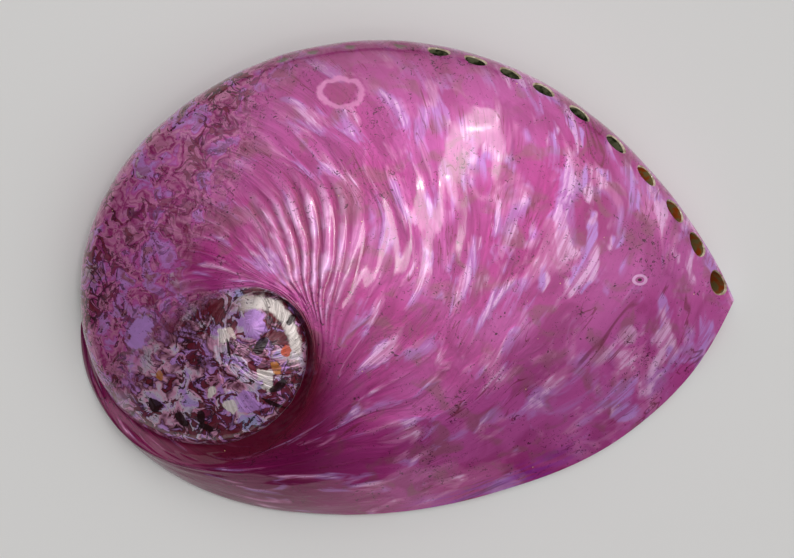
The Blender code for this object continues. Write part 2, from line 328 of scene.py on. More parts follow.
def grown_point(age, ahead):
    """Point of the back, drawn smoothly onto the seam on the older turn's wall."""
    radius, angle, height = back_point(age, ahead)
    share = smooth_step((ahead - LIP_SPAN + SEAM_BLEND) / SEAM_BLEND)
    seam_radius, _, seam_height = wall_point(age + OVERLAP, seam_down(age))
    end_radius, _, end_height = back_point(age, LIP_SPAN)
    radius = radius + share * (seam_radius - end_radius)
    return radius, angle, height + share * (seam_height - end_height)


def placed(radius, angle, height):
    """Points in millimetres, with the lean of the spiral's axis."""
    lean = radius * radius / (radius * radius + LEAN_RADIUS * LEAN_RADIUS)
    x = APEX_X + LEAN_X * lean + radius * np.cos(np.radians(angle))
    y = APEX_Y + LEAN_Y * lean + radius * np.sin(np.radians(angle))
    return np.stack(np.broadcast_arrays(x, y, height), axis=-1)


# Building the mesh


class Sheet:
    """Collects points and faces. A corner is a point's number with its place in the growth."""

    def __init__(self):
        self.points = []
        self.faces = []

    def line(self, shape, age, ahead):
        """Adds a line of points, given as radius, angle and height, and returns their corners."""
        points = np.atleast_2d(placed(*shape))
        first = len(self.points)
        self.points += points.tolist()
        ages = np.broadcast_to(age, len(points))
        aheads = np.broadcast_to(ahead, len(points))
        return [(first + i, float(ages[i]), float(aheads[i])) for i in range(len(points))]

    def face(self, *corners):
        kept = [c for i, c in enumerate(corners) if c[0] != corners[i - 1][0]]
        if len(kept) > 2:
            self.faces.append(kept)

    def strip(self, first, second):
        for i in range(len(first) - 1):
            self.face(first[i], second[i], second[i + 1], first[i + 1])

    def ring(self, first, second):
        self.strip(first + first[:1], second + second[:1])


def growth_rows():
    """Places along a growth line, at even steps of length and closer on the shoulder."""
    ahead = np.linspace(LIP_SPAN, 0.0, 4001)
    line = placed(*back_point(ROW_AGE, ahead))
    steps = np.linalg.norm(np.diff(line, axis=0), axis=1)
    to_edge = np.concatenate([np.cumsum(steps[::-1])[::-1], [0.0]])
    wanted = ROW_STEP - (ROW_STEP - SHOULDER_STEP) * bell(to_edge, SHOULDER_REACH)
    count = np.concatenate([[0.0], np.cumsum(steps / wanted[1:])])
    places = np.linspace(0.0, count[-1], int(count[-1]) + 1)
    return np.interp(places, count, ahead)


def outer_sheet(sheet, rows):
    """Makes the back and the side wall. Returns the lower edge's corners and their angles."""
    walled = OVERLAP + SEAM_RISE
    grid = []
    for age in range(OLDEST + 1):
        seam = sheet.line(wall_point(age + OVERLAP, seam_down(age)), age, LIP_SPAN)
        middle = sheet.line(grown_point(age, rows[1:-1]), age, rows[1:-1])
        if age >= walled:
            widest = [(grid[age - OVERLAP][0][0], float(age), 0.0)]
        else:
            widest = sheet.line(back_point(age, 0.0), age, 0.0)
        grid.append(seam + middle + widest)
    walls = [side_wall(sheet, grid, age) for age in range(walled + 1)]
    for age in range(OLDEST):
        sheet.strip(grid[age], grid[age + 1])
    for age in range(walled):
        sheet.strip(walls[age], walls[age + 1])
    close_apex(sheet, grid)
    feet = [walls[back][-1] for back in range(1, OVERLAP)]
    lip_angles = [TIP_ANGLE - ahead for ahead in rows]
    return grid[0] + feet, lip_angles + [TIP_ANGLE + back for back in range(1, OVERLAP)]


def side_wall(sheet, grid, age):
    """One column of the wall, from the widest line down to the rim or to the seam."""
    top = grid[age][-1]
    if age == 0 or age == OVERLAP + SEAM_RISE:
        return [top] * (WALL_ROWS + 1)
    reach = seam_down(max(age - OVERLAP, 0))
    down = reach * np.arange(1, WALL_ROWS + 1) / WALL_ROWS
    wall = [top] + sheet.line(wall_point(age, down[:-1]), age, WALL_MARK * down[:-1])
    if age >= OVERLAP:
        return wall + [(grid[age - OVERLAP][0][0], float(age), WALL_MARK * reach)]
    return wall + sheet.line(wall_point(age, 1.0), age, WALL_MARK)


def close_apex(sheet, grid):
    """Fills the start of the spiral with a fan around its top point."""
    top = sheet.line((0.0, 0.0, APEX_HEIGHT + APEX_CAP), OLDEST, LIP_SPAN)[0]
    edge = [grid[age][0] for age in range(OLDEST - OVERLAP, OLDEST + 1)] + grid[-1][1:]
    for i in range(len(edge) - 1):
        sheet.face(edge[i], edge[i + 1], top)


def outer_profile(angle):
    """Outer surface cut through the apex at one angle: radii and heights from rim to apex."""
    radii = []
    heights = []
    back = (angle - TIP_ANGLE) % 360.0
    if back < OVERLAP:
        radius, _, height = wall_point(back, np.linspace(1.0, 0.0, 12))
        radii += list(radius)
        heights += list(height)
    for turn in (-1, 0, 1):
        start = back + 360.0 * turn
        ahead = np.linspace(max(0.0, -start), LIP_SPAN, 161)
        ahead = ahead[start + ahead <= OLDEST]
        if start + LIP_SPAN <= 0.0 or len(ahead) == 0:
            continue
        radius, _, height = back_point(start + ahead, ahead)
        radii += list(radius)
        heights += list(height)
    return np.array(radii + [0.0]), np.array(heights + [APEX_HEIGHT])


def smoothed(values, reach):
    """Running average that keeps both ends in place."""
    weights = np.hanning(2 * reach + 3)[1:-1]
    padded = np.pad(values, reach, mode="reflect", reflect_type="odd")
    return np.convolve(padded, weights / weights.sum(), mode="valid")


def resampled(radii, heights, count, first_step):
    """The same line with count points, closer together at its start."""
    along = np.concatenate([[0.0], np.cumsum(np.hypot(np.diff(radii), np.diff(heights)))])
    steps = np.linspace(0.0, 1.0, count)
    places = along[-1] * (first_step * steps + (1.0 - first_step) * steps ** 2)
    return np.interp(places, along, radii), np.interp(places, along, heights)


def inside_profile(angle, start_radius, ledge):
    """Inner surface at one angle, from the rim's inner edge to the middle."""
    radii, heights = outer_profile(angle)
    radii, heights = resampled(radii, heights, 240, 1.0)
    spacing = math.hypot(radii[1] - radii[0], heights[1] - heights[0])
    reach = int(INSIDE_SMOOTHING / spacing)
    radii = smoothed(radii, reach)
    heights = smoothed(heights, reach)
    out = np.gradient(radii)
    up = np.gradient(heights)
    size = np.hypot(out, up)
    inner_radii = radii - WALL_THICKNESS * up / size
    inner_heights = heights + WALL_THICKNESS * out / size
    high = inner_heights > HOLLOW_ABOVE[0] + HOLLOW_ABOVE[1] * ledge
    inside = inner_radii < start_radius + HOLLOW_INSIDE[0] + HOLLOW_INSIDE[1] * ledge
    first = int(np.argmax(high & inside))
    inner_radii = np.concatenate([[start_radius], np.maximum(inner_radii[first:], 0.0)])
    inner_heights = np.concatenate([[0.0], inner_heights[first:]])
    return resampled(inner_radii, inner_heights, INSIDE_ROWS + 1, INSIDE_FIRST_STEP)


def ledge_width(angle):
    """Width of the flat ledge under the holes, none along the lip."""
    back = (angle - TIP_ANGLE) % 360.0
    if back >= OVERLAP:
        return 0.0
    return LEDGE_WIDTH * math.sin(math.pi * back / OVERLAP) ** LEDGE_TAPER


def evened(profiles):
    """Inner profiles averaged with their neighbours, except along the rim."""
    for _ in range(EVENING_PASSES):
        beside = np.roll(profiles, 1, axis=0) + np.roll(profiles, -1, axis=0)
        profiles[:, :, 1:] = 0.5 * profiles[:, :, 1:] + 0.25 * beside[:, :, 1:]
    return profiles


def wall_left(outside, place):
    """Distance from a point of the hollow to the outside, below zero once it is through."""
    above = Vector((place[0], place[1], ABOVE_ALL))
    top = outside.ray_cast(above, Vector((0.0, 0.0, -1.0)))[0]
    distance = outside.find_nearest(place)[3]
    return distance if top is None or top.z > place[2] else -distance


def keep_wall(sheet, outside, first_face):
    """Lowers the hollow until enough wall is left over its corners and faces."""
    faces = [[corner[0] for corner in face] for face in sheet.faces[first_face:]]
    groups = {(corner,) for face in faces for corner in face}.union(tuple(face) for face in faces)
    for _ in range(LOWERING_PASSES):
        drops = {}
        for group in groups:
            middle = np.mean([sheet.points[corner] for corner in group], axis=0)
            short = LEAST_WALL - wall_left(outside, Vector(middle))
            if short > 0.0:
                for corner in group:
                    drops[corner] = max(short, drops.get(corner, 0.0))
        for corner, drop in drops.items():
            sheet.points[corner][2] = max(sheet.points[corner][2] - drop, 0.0)
        groups = {group for group in groups if not drops.keys().isdisjoint(group)}


def foot_of_outside(angle):
    """Radius and height of the outer surface's lower edge at one angle."""
    back = (angle - TIP_ANGLE) % 360.0
    if back < OVERLAP:
        radius, _, height = wall_point(back, 1.0)
    else:
        radius, _, height = back_point(0.0, TIP_ANGLE - angle)
    return float(radius), height


def rounded_edge(sheet, angles):
    """Rings of corners around the rim's rounded outer edge, the last one on the ground."""
    turns = [math.radians(turn) for turn in EDGE_TURNS]
    edges = [[] for _ in turns]
    for angle in angles:
        radius, height = foot_of_outside(angle)
        for turn, edge in zip(turns, edges):
            inset = EDGE_INSET * (1.0 - math.cos(turn))
            low = height * (1.0 - math.sin(turn))
            edge += sheet.line((radius - inset, angle, low), angle, RIM_MARK)
    return edges


def hollow_columns(sheet, angles):
    """Columns of corners up the hollow, from the rim's inner edge."""
    profiles = []
    for angle in angles:
        ledge = ledge_width(angle)
        inner_radius = foot_of_outside(angle)[0] - EDGE_INSET - RIM_WIDTH - ledge
        profiles.append(inside_profile(angle, inner_radius, ledge))
    columns = []
    for angle, (radii, heights) in zip(angles, evened(np.array(profiles))):
        depth = RIM_MARK - np.arange(INSIDE_ROWS)
        columns.append(sheet.line((radii[:-1], angle, heights[:-1]), angle, depth))
    return columns


def inner_sheet(sheet, lower_edge, angles):
    """Makes the rounded edge, the flat rim and the hollow of the underside."""
    outer_faces = [[corner[0] for corner in face] for face in sheet.faces]
    outside = BVHTree.FromPolygons([Vector(point) for point in sheet.points], outer_faces)
    edges = rounded_edge(sheet, angles)
    columns = hollow_columns(sheet, angles)
    rings = [[column[k] for column in columns] for k in range(INSIDE_ROWS)]
    rim = [lower_edge] + edges + [rings[0]]
    for first, second in zip(rim[:-1], rim[1:]):
        sheet.ring(first, second)
    hollow = len(sheet.faces)
    for first, second in zip(rings[:-1], rings[1:]):
        sheet.ring(first, second)
    middle = sheet.line((0.0, 0.0, APEX_HEIGHT - WALL_THICKNESS), 0.0, MIDDLE_MARK)[0]
    for i in range(len(columns)):
        sheet.face(rings[-1][i - 1], middle, rings[-1][i])
    keep_wall(sheet, outside, hollow)


def noise_at(points, scale):
    """Smooth noise between about -1 and 1 at each point, with features of about the given size."""
    return np.array([noise.noise(Vector(point / scale)) for point in points])


def grown_place(age, ahead, size):
    """Places in the growth, divided by a size across and along the growth lines."""
    return np.stack([age / size[0], ahead / size[1], np.zeros(len(age))], axis=1)


def ellipse_distance(points, place, size, turn):
    """Distance from an ellipse's middle, where 1 is its outline."""
    across = points[:, :2] - np.array(place)
    cos = math.cos(math.radians(turn))
    sin = math.sin(math.radians(turn))
    u = (across[:, 0] * cos + across[:, 1] * sin) / size[0]
    v = (across[:, 1] * cos - across[:, 0] * sin) / size[1]
    return np.hypot(u, v)


def fold_wave(age, ahead, noise_shift):
    """Strength of the silky folds beside the spire, and their wave between -1 and 1."""
    strength = bell(age - FOLD_AGE[0], FOLD_AGE[1])
    strength *= smooth_step((ahead - FOLD_START[0]) / FOLD_START[1])
    strength *= smooth_step((FOLD_END[0] - ahead) / FOLD_END[1])
    bend = FOLD_BEND[0] * np.sin(ahead / FOLD_BEND[1]) + noise_shift
    return strength, np.sin(2.0 * math.pi * (age + bend) / FOLD_PERIOD)


def fold_shift(age, ahead):
    """Uneven shift of the folds, in degrees."""
    return FOLD_SHIFT * noise_at(grown_place(age, ahead, FOLD_SHIFT_SIZE), 1.0)


def pit_depth(points):
    """How deep each point lies in a sealed hole's pit, from 0 to 1."""
    depth = np.zeros(len(points))
    near = np.where(points[:, 1] > PIT_NORTH)[0]
    for back in PIT_ANGLES:
        inward = hole_frame(back, PIT_INSET).inverted()
        for i in near:
            x, y, _ = inward @ Vector(points[i])
            off = math.hypot(x / PIT_SIZE[0], y / PIT_SIZE[1])
            depth[i] = max(depth[i], float(smooth_step(PIT_EDGE - off)))
    return depth


def relief(points, age, ahead):
    """Height of the low relief at points of the back, none along the seam and the lip."""
    grown = grown_place(age, ahead, WAVE_SIZE)
    waves = WAVE_HEIGHT * noise_at(grown, 1.0)
    ripples = RIPPLE_HEIGHT * noise_at(grown * (3.1, 1.7, 1.0) + 7.0, 1.0)
    ripples += RIPPLE_HEIGHT * noise_at(points, RIPPLE_SIZE)
    strength, wave = fold_wave(age, ahead, fold_shift(age, ahead))
    off = ellipse_distance(points, EYE_PLACE, EYE_SIZE, EYE_TURN)
    eye = EYE_HEIGHT * bell(off - EYE_RING[0], EYE_RING[1])
    edge = smooth_step(age / RELIEF_FADE[0]) * smooth_step((LIP_SPAN - ahead) / RELIEF_FADE[1])
    pits = PIT_DEPTH * pit_depth(points)
    return edge * (waves + ripples + FOLD_HEIGHT * strength * wave + eye) - pits


def surface_near_edge(back, inset):
    """Point of the back at one angle, a given distance inside the widest line."""
    ahead = np.linspace(0.0, 40.0, 401)
    radius, _, height = back_point(back + ahead, ahead)
    wanted = coil_radius(back) - inset
    level = float(np.interp(-wanted, -radius, height))
    return Vector(placed(wanted, TIP_ANGLE + back, level))


def hole_frame(back, inset):
    """Matrix at a hole in millimetres: X along the row of holes, Z out of the shell."""
    centre = surface_near_edge(back, inset)
    along = surface_near_edge(back + 1.0, inset) - surface_near_edge(back - 1.0, inset)
    across = surface_near_edge(back, inset - 0.7) - surface_near_edge(back, inset + 0.7)
    along.normalize()
    normal = across.cross(along).normalized()
    if normal.z < 0.0:
        normal.negate()
    matrix = Matrix((along, normal.cross(along), normal)).transposed().to_4x4()
    matrix.translation = centre
    return matrix


def hole_outline(back, share, wider):
    """Points around a slightly uneven oval hole. Its share runs from 0 at the newest hole to 1."""
    half_length = HOLE_HALF_LENGTH[0] + share * (HOLE_HALF_LENGTH[1] - HOLE_HALF_LENGTH[0])
    half_width = HOLE_HALF_WIDTH[0] + share * (HOLE_HALF_WIDTH[1] - HOLE_HALF_WIDTH[0])
    for k in range(HOLE_SIDES):
        turn = 2.0 * math.pi * k / HOLE_SIDES
        three_sided = HOLE_UNEVEN[0] * math.sin(3.0 * turn + back)
        two_sided = HOLE_UNEVEN[1] * math.sin(2.0 * turn + 2.0 * back)
        uneven = 1.0 + three_sided + two_sided
        x = (half_length * uneven + wider) * math.cos(turn)
        yield x, (half_width * uneven + wider) * math.sin(turn)


def new_mesh(name, points, faces, slots, materials):
    """A mesh with its materials, and with the slot of each of its faces."""
    mesh = bpy.data.meshes.new(name)
    mesh.from_pydata(points, [], faces)
    for material in materials:
        mesh.materials.append(material)
    mesh.polygons.foreach_set("material_index", slots)
    return mesh


def linked(name, data):
    """A new object in the scene for a mesh, a light or a camera."""
    item = bpy.data.objects.new(name, data)
    bpy.context.scene.collection.objects.link(item)
    return item


def hole_cutters(materials):
    """One object with a cutter through the shell at each open hole, bevelled at the surface."""
    points = []
    faces = []
    slots = []
    for i, back in enumerate(HOLE_ANGLES):
        matrix = hole_frame(back, HOLE_INSET)
        depth = min(HOLE_DEPTH, matrix.translation.z - HOLE_ABOVE_RIM)
        rings = []
        for height, wider in HOLE_SECTION + ((-depth, 0.0),):
            first = len(points)
            for x, y in hole_outline(back, i / (len(HOLE_ANGLES) - 1), wider):
                points.append(matrix @ Vector((x, y, height)) * MM)
            rings.append(list(range(first, first + HOLE_SIDES)))
        faces += [rings[0], rings[-1][::-1]]
        slots += [HOLE_WALL, HOLE_WALL]
        for upper, lower in zip(rings[:-1], rings[1:]):
            faces += [[upper[k - 1], lower[k - 1], lower[k], upper[k]] for k in range(HOLE_SIDES)]
            slots += [HOLE_WALL if lower is rings[-1] else HOLE_EDGE] * HOLE_SIDES
    return linked("hole_cutters", new_mesh("hole_cutters", points, faces, slots, materials))


def shell_mesh(materials):
    """The whole shell before its holes are cut, with a place in the growth at every corner."""
    sheet = Sheet()
    lower_edge, angles = outer_sheet(sheet, growth_rows())
    back_faces = len(sheet.faces)
    inner_sheet(sheet, lower_edge, angles)
    used = sorted({corner[0] for face in sheet.faces for corner in face})
    number = {old: new for new, old in enumerate(used)}
    points = np.array(sheet.points)[used]
    faces = [[number[corner[0]] for corner in face] for face in sheet.faces]
    slots = [BACK] * back_faces + [UNDERSIDE] * (len(faces) - back_faces)
    mesh = new_mesh("shell_surface", points * MM, faces, slots, materials)
    growth = np.array([corner[1:] for face in sheet.faces for corner in face])
    owners = np.array([owner for face in faces for owner in face])
    layer = mesh.uv_layers.new(name="growth")
    layer.uv.foreach_set("vector", growth.ravel())
    turn_outward(mesh)
    raise_relief(mesh, points, growth, owners)
    return mesh


def turn_outward(mesh):
    """Turns every face of the closed mesh outward."""
    shape = bmesh.new()
    shape.from_mesh(mesh)
    bmesh.ops.recalc_face_normals(shape, faces=shape.faces)
    shape.to_mesh(mesh)
    shape.free()


def raise_relief(mesh, points, growth, owners):
    """Moves the points of the back along their normals by the relief."""
    place = np.zeros((len(points), 2))
    place[owners[::-1]] = growth[::-1]
    on_back = np.where(place[:, 1] >= 0.0)[0]
    normals = np.empty(len(points) * 3)
    mesh.vertices.foreach_get("normal", normals)
    normals = normals.reshape(-1, 3)
    raised = points.copy()
    height = relief(points[on_back], place[on_back, 0], place[on_back, 1])
    raised[on_back] += normals[on_back] * height[:, None]
    mesh.vertices.foreach_set("co", (raised * MM).ravel())
    mesh.update()


def cut_holes(mesh, materials):
    """The mesh with the open holes cut through it."""
    whole = linked("whole_shell", mesh)
    cutters = hole_cutters(materials)
    cut = whole.modifiers.new("holes", "BOOLEAN")
    cut.operation = "DIFFERENCE"
    cut.solver = "EXACT"
    cut.material_mode = "INDEX"
    cut.object = cutters
    bpy.context.view_layer.update()
    evaluated = whole.evaluated_get(bpy.context.evaluated_depsgraph_get())
    result = bpy.data.meshes.new_from_object(evaluated)
    bpy.data.objects.remove(whole)
    bpy.data.objects.remove(cutters)
    return result


def zone_masks(age, ahead):
    """Strengths of the lace pattern, the silvery old turns, the darker magenta that is partly dye and
    partly painted shade, and the painted shade of the groove.
    """
    lace_reach = 40.0 * smooth_step((age - 70.0) / 75.0) + 200.0 * smooth_step((age - 183.0) / 30.0)
    lace = smooth_step((lace_reach - ahead) / 14.0 + 0.4)
    silver = smooth_step((age - 188.0) / 24.0)
    # Darker magenta: partly dye, partly painted shade, on the lower side and beside the old turns
    deep_dye_and_shade = smooth_step((ahead - 50.0 - 0.5 * age) / 50.0) * (1.0 - silver)
    # Painted shade: darker red-brown in the groove beside the spire
    groove = smooth_step((ahead - 104.0) / 50.0) * smooth_step((age - 30.0) / 50.0) * (1.0 - silver)
    return np.stack([lace, silver, deep_dye_and_shade, groove], axis=1)


def mark_masks(age, ahead, points):
    """Strengths of the painted highlights on the folds' crests and the painted shade in their valleys,
    the sealed holes' pits and a painted glint along the edge.
    """
    strength, wave = fold_wave(age, ahead, fold_shift(age, ahead))
    # Painted highlight on the folds' crests and painted shade in their valleys
    crest_highlight = strength * smooth_step(wave * 0.8 + 0.3)
    valley_shade = strength * smooth_step(-wave * 0.8 + 0.2)
    # Painted bluish-purple glint along part of the lip's edge
    violet_glint = smooth_step((6.0 - age) / 4.0) * smooth_step((62.0 - ahead) / 12.0)
    violet_glint *= smooth_step((ahead - 22.0) / 12.0)
    return np.stack([crest_highlight, valley_shade, pit_depth(points), violet_glint], axis=1)


def corner_places(mesh):
    """The different places in the growth with their points, and which of them each corner has."""
    corners = len(mesh.loops)
    growth = np.empty(corners * 2)
    mesh.uv_layers["growth"].uv.foreach_get("vector", growth)
    owners = np.empty(corners, dtype=int)
    mesh.loops.foreach_get("vertex_index", owners)
    points = np.empty(len(mesh.vertices) * 3)
    mesh.vertices.foreach_get("co", points)
    rows = np.column_stack([owners, growth.reshape(-1, 2)])
    places, which = np.unique(rows, axis=0, return_inverse=True)
    points = points.reshape(-1, 3)[places[:, 0].astype(int)] / MM
    return places[:, 1], places[:, 2], points, which.ravel()


def length_along(age, ahead):
    """Millimetres along the growth line from the outer edge."""
    steps = np.linspace(0.0, LIP_SPAN, 401)
    line = placed(*back_point(LENGTH_AGE, steps))
    length = np.concatenate([[0.0], np.cumsum(np.linalg.norm(np.diff(line, axis=0), axis=1))])
    scale = coil_radius(age) / coil_radius(LENGTH_AGE)
    return np.where(ahead < 0.0, ahead, np.interp(ahead, steps, length) * scale)


def write_places(mesh):
    """Stores the zones and marks at every corner, and turns the growth map into lengths."""
    age, ahead, points, which = corner_places(mesh)
    masks = {"zones": zone_masks(age, ahead), "marks": mark_masks(age, ahead, points)}
    for name, values in masks.items():
        layer = mesh.color_attributes.new(name, "FLOAT_COLOR", "CORNER")
        layer.data.foreach_set("color", values[which].ravel())
    growth = np.stack([age, length_along(age, ahead)], axis=1)[which] * GROWTH_SCALE
    mesh.uv_layers["growth"].uv.foreach_set("vector", growth.ravel())


# Nodes and materials


def srgb(red, green, blue):
    """Colour from its 8-bit display values."""
    values = [value / 255.0 for value in (red, green, blue)]
    linear = [v / 12.92 if v <= 0.04045 else ((v + 0.055) / 1.055) ** 2.4 for v in values]
    return (*linear, 1.0)


class Nodes:
    """Short ways to add and join the nodes of one material."""

    def __init__(self, name):
        self.material = bpy.data.materials.new(name)
        self.material.use_nodes = True
        self.tree = self.material.node_tree
        self.surface = self.tree.nodes["Principled BSDF"]

    def add(self, kind, **settings):
        node = self.tree.nodes.new(kind)
        for key, value in settings.items():
            setattr(node, key, value)
        return node

    def put(self, socket, value):
        """Links a socket, or sets a plain value."""
        if isinstance(value, bpy.types.NodeSocket):
            self.tree.links.new(value, socket)
        else:
            socket.default_value = value

    def fill(self, node, **inputs):
        """Sets or links a node's inputs by their names. Returns the node."""
        for name, value in inputs.items():
            self.put(node.inputs[name], value)
        return node

    def surfaced(self, inputs):
        """Sets or links the surface's inputs by their names. Returns the material."""
        self.fill(self.surface, **inputs)
        return self.material

    def split(self, kind, value):
        """The parts of a Color or of an XYZ vector."""
        node = self.add("ShaderNodeSeparate" + kind)
        self.put(node.inputs[0], value)
        return node.outputs

    def math(self, operation, first, second=0.0):
        node = self.add("ShaderNodeMath", operation=operation)
        self.put(node.inputs[0], first)
        self.put(node.inputs[1], second)
        return node.outputs[0]

    def product(self, *factors):
        result = factors[0]
        for factor in factors[1:]:
            result = self.math("MULTIPLY", result, factor)
        return result

    def vector(self, operation, first, second):
        node = self.add("ShaderNodeVectorMath", operation=operation)
        self.put(node.inputs[0], first)
        self.put(node.inputs[1], second)
        return node.outputs[0]

    def step(self, value, start, end, low=0.0, high=1.0):
        """Smooth step from low to high as the value goes from start to end."""
        node = self.add("ShaderNodeMapRange", interpolation_type="SMOOTHSTEP")
        for index, item in enumerate((value, start, end, low, high)):
            self.put(node.inputs[index], item)
        return node.outputs[0]

    def band(self, value, middle, width, soft):
        """1 within width of the middle, falling to 0 over soft."""
        off = self.math("ABSOLUTE", self.math("SUBTRACT", value, middle))
        return self.step(off, width + soft, width)

    def noise(self, vector, scale=1.0, detail=2.0, rough=0.5, twist=0.0, flat=True):
        node = self.add("ShaderNodeTexNoise", noise_dimensions="2D" if flat else "3D")
        self.fill(node, Vector=vector, Scale=scale, Detail=detail, Roughness=rough, Distortion=twist)
        return node.outputs["Fac"]

    def voronoi(self, vector, size, feature):
        node = self.add("ShaderNodeTexVoronoi", feature=feature)
        return self.fill(node, Vector=vector, Scale=1.0 / size)

    def cells(self, vector, size):
        """Distance in millimetres from the nearest cell's middle, and a number for that cell."""
        node = self.voronoi(vector, size, "F1")
        number = self.split("Color", node.outputs["Color"])[0]
        return self.product(node.outputs["Distance"], size), number

    def veins(self, vector, size):
        """Distance in millimetres from the nearest cell's edge."""
        return self.product(self.voronoi(vector, size, "DISTANCE_TO_EDGE").outputs["Distance"], size)

    def blend(self, share, first, second):
        """Number between two others."""
        node = self.add("ShaderNodeMix")
        for index, item in ((0, share), (2, first), (3, second)):
            self.put(node.inputs[index], item)
        return node.outputs[0]

    def ramp(self, value, colours):
        """Runs evenly through the colours as the value goes from 0 to 1."""
        node = self.add("ShaderNodeValToRGB")
        while len(node.color_ramp.elements) < len(colours):
            node.color_ramp.elements.new(1.0)
        for i, colour in enumerate(colours):
            node.color_ramp.elements[i].position = i / (len(colours) - 1)
            node.color_ramp.elements[i].color = colour
        self.put(node.inputs[0], value)
        return node.outputs[0]

    def shifted(self, vector, shift):
        return self.vector("ADD", vector, (shift, 0.6 * shift, 1.3 * shift))

    def warped(self, vector, size, amount, shift):
        """A place moved about by noise, for irregular outlines."""
        node = self.add("ShaderNodeTexNoise")
        self.fill(node, Vector=self.shifted(vector, shift), Scale=1.0 / size, Detail=1.0)
        offset = self.vector("SUBTRACT", node.outputs["Color"], (0.5, 0.5, 0.5))
        return self.vector("ADD", vector, self.vector("MULTIPLY", offset, (2.0 * amount,) * 3))

    def mix(self, share, first, second):
        """Colour between two others."""
        node = self.add("ShaderNodeMix", data_type="RGBA")
        for index, item in ((0, share), (6, first), (7, second)):
            self.put(node.inputs[index], item)
        return node.outputs[2]

    def growth(self):
        """Place in the growth: degrees back from the lip, and millimetres along the growth line."""
        node = self.add("ShaderNodeUVMap", uv_map="growth")
        return self.vector("MULTIPLY", node.outputs[0], (1.0 / GROWTH_SCALE, 1.0 / GROWTH_SCALE, 0.0))

    def place(self):
        """Place on the object in millimetres."""
        node = self.add("ShaderNodeTexCoord")
        return self.vector("MULTIPLY", node.outputs["Object"], (1.0 / MM,) * 3)

    def channels(self, name):
        """The four numbers stored in a colour attribute."""
        node = self.add("ShaderNodeAttribute", attribute_name=name)
        return *self.split("Color", node.outputs["Color"]), node.outputs["Alpha"]

    def stretched(self, vector, across, along, shift=0.0):
        """Growth place divided by a feature size across and along the growth lines."""
        scaled = self.vector("MULTIPLY", vector, (1.0 / across, 1.0 / along, 1.0))
        return self.vector("ADD", scaled, (shift, 0.7 * shift, 0.0))

    def ellipse(self, place, middle, size, turn):
        """Distance from a place on the back, where 1 is the ellipse's outline, and the angle."""
        node = self.add("ShaderNodeMapping", vector_type="TEXTURE")
        turned = (0.0, 0.0, math.radians(turn))
        self.fill(node, Vector=place, Location=(*middle, 0.0), Rotation=turned, Scale=(*size, 1.0))
        x, y, _ = self.split("XYZ", node.outputs[0])
        square = self.math("ADD", self.product(x, x), self.product(y, y))
        return self.math("SQRT", square), self.math("ARCTAN2", y, x)

    def bump(self, height, distance, strength):
        node = self.add("ShaderNodeBump")
        return self.fill(node, Height=height, Distance=distance * MM, Strength=strength).outputs[0]


# Colours of the dyed shell
ROSE = srgb(186, 52, 138)
MAUVE = srgb(200, 86, 164)
PLUM = srgb(148, 24, 102)
DEEP_DYE_AND_SHADE = srgb(120, 0, 72)
PALE_ROSE = srgb(230, 140, 194)
PINK_GLINT = srgb(252, 194, 240)
LAVENDER = srgb(206, 150, 230)
OLIVE = srgb(150, 92, 104)
RED_BROWN = srgb(112, 22, 40)
DARK_BROWN = srgb(38, 10, 16)
UMBER = srgb(96, 48, 56)
WINE_SHADE = srgb(134, 34, 86)
DUSTY_PINK = srgb(222, 144, 182)
SPECK = srgb(62, 8, 34)
SILVER = srgb(222, 208, 226)
PALE_BLUE = srgb(176, 184, 226)
PALE_PINK = srgb(232, 164, 200)
CREAM = srgb(246, 232, 226)
OCHRE = srgb(200, 124, 56)
ORANGE = srgb(214, 78, 26)
VIOLET = srgb(136, 44, 190)
GOLD = srgb(250, 210, 150)
RING_HEART = srgb(170, 60, 120)
FOLD_SHADE_ROSE = srgb(150, 50, 90)
PIT_GREEN = srgb(96, 104, 70)
HOLLOW_PINK = srgb(214, 170, 200)
HOLLOW_GREY = srgb(196, 196, 214)
HOLLOW_ROSE = srgb(190, 96, 150)
HOLE_SAND = srgb(206, 186, 160)
HOLE_TAN = srgb(150, 128, 96)
NEW_HOLE_TONES = (srgb(170, 78, 26), srgb(136, 122, 76))
OLD_HOLE_TONES = (srgb(40, 46, 26), srgb(116, 116, 88))
FLOOR_GREY = srgb(228, 226, 223)
LACE_PEARLS = (OLIVE, DUSTY_PINK, PLUM, DUSTY_PINK, MAUVE, LAVENDER, OLIVE, SILVER)
DOME_PEARLS = (UMBER, DUSTY_PINK, LAVENDER, UMBER, PALE_PINK, SILVER, LAVENDER, PALE_BLUE)

# Larger marks of the old turns, each as a middle, half sizes and a turn
LILAC_SPOTS = (
    ((-33.3, -9.0), (2.6, 3.8), 15.0),
    ((-58.8, -10.4), (2.2, 4.2), -25.0),
    ((-34.5, -26.5), (3.4, 2.4), 20.0),
)
WHITE_SPOTS = (
    ((-43.0, -24.5), (1.0, 1.7), -20.0),
    ((-38.7, -27.2), (1.7, 2.1), 25.0),
    ((-30.5, -20.9), (1.7, 2.3), 10.0),
    ((-39.5, -11.5), (2.0, 1.6), 30.0),
)
ORANGE_SPOTS = (((-26.2, -15.1), (0.9, 1.3), 0.0),)
OCHRE_SPOTS = (((-28.4, -18.4), (0.9, 1.9), 20.0), ((-54.5, -20.5), (0.9, 1.2), 0.0))
DARK_SPOTS = (
    ((-55.9, -27.5), (1.6, 1.7), 30.0),
    ((-49.9, -30.7), (1.1, 2.0), 25.0),
    ((-45.4, -29.9), (0.9, 1.2), 0.0),
    ((-44.3, -32.2), (1.6, 0.7), -20.0),
    ((-27.5, -22.3), (2.2, 1.0), 40.0),
    ((-29.4, -26.5), (3.4, 0.45), -24.0),
    ((-31.6, -13.6), (1.0, 2.4), -35.0),
    ((-38.6, -14.6), (0.35, 2.2), 8.0),
    ((-24.8, -8.0), (0.8, 1.3), -40.0),
)
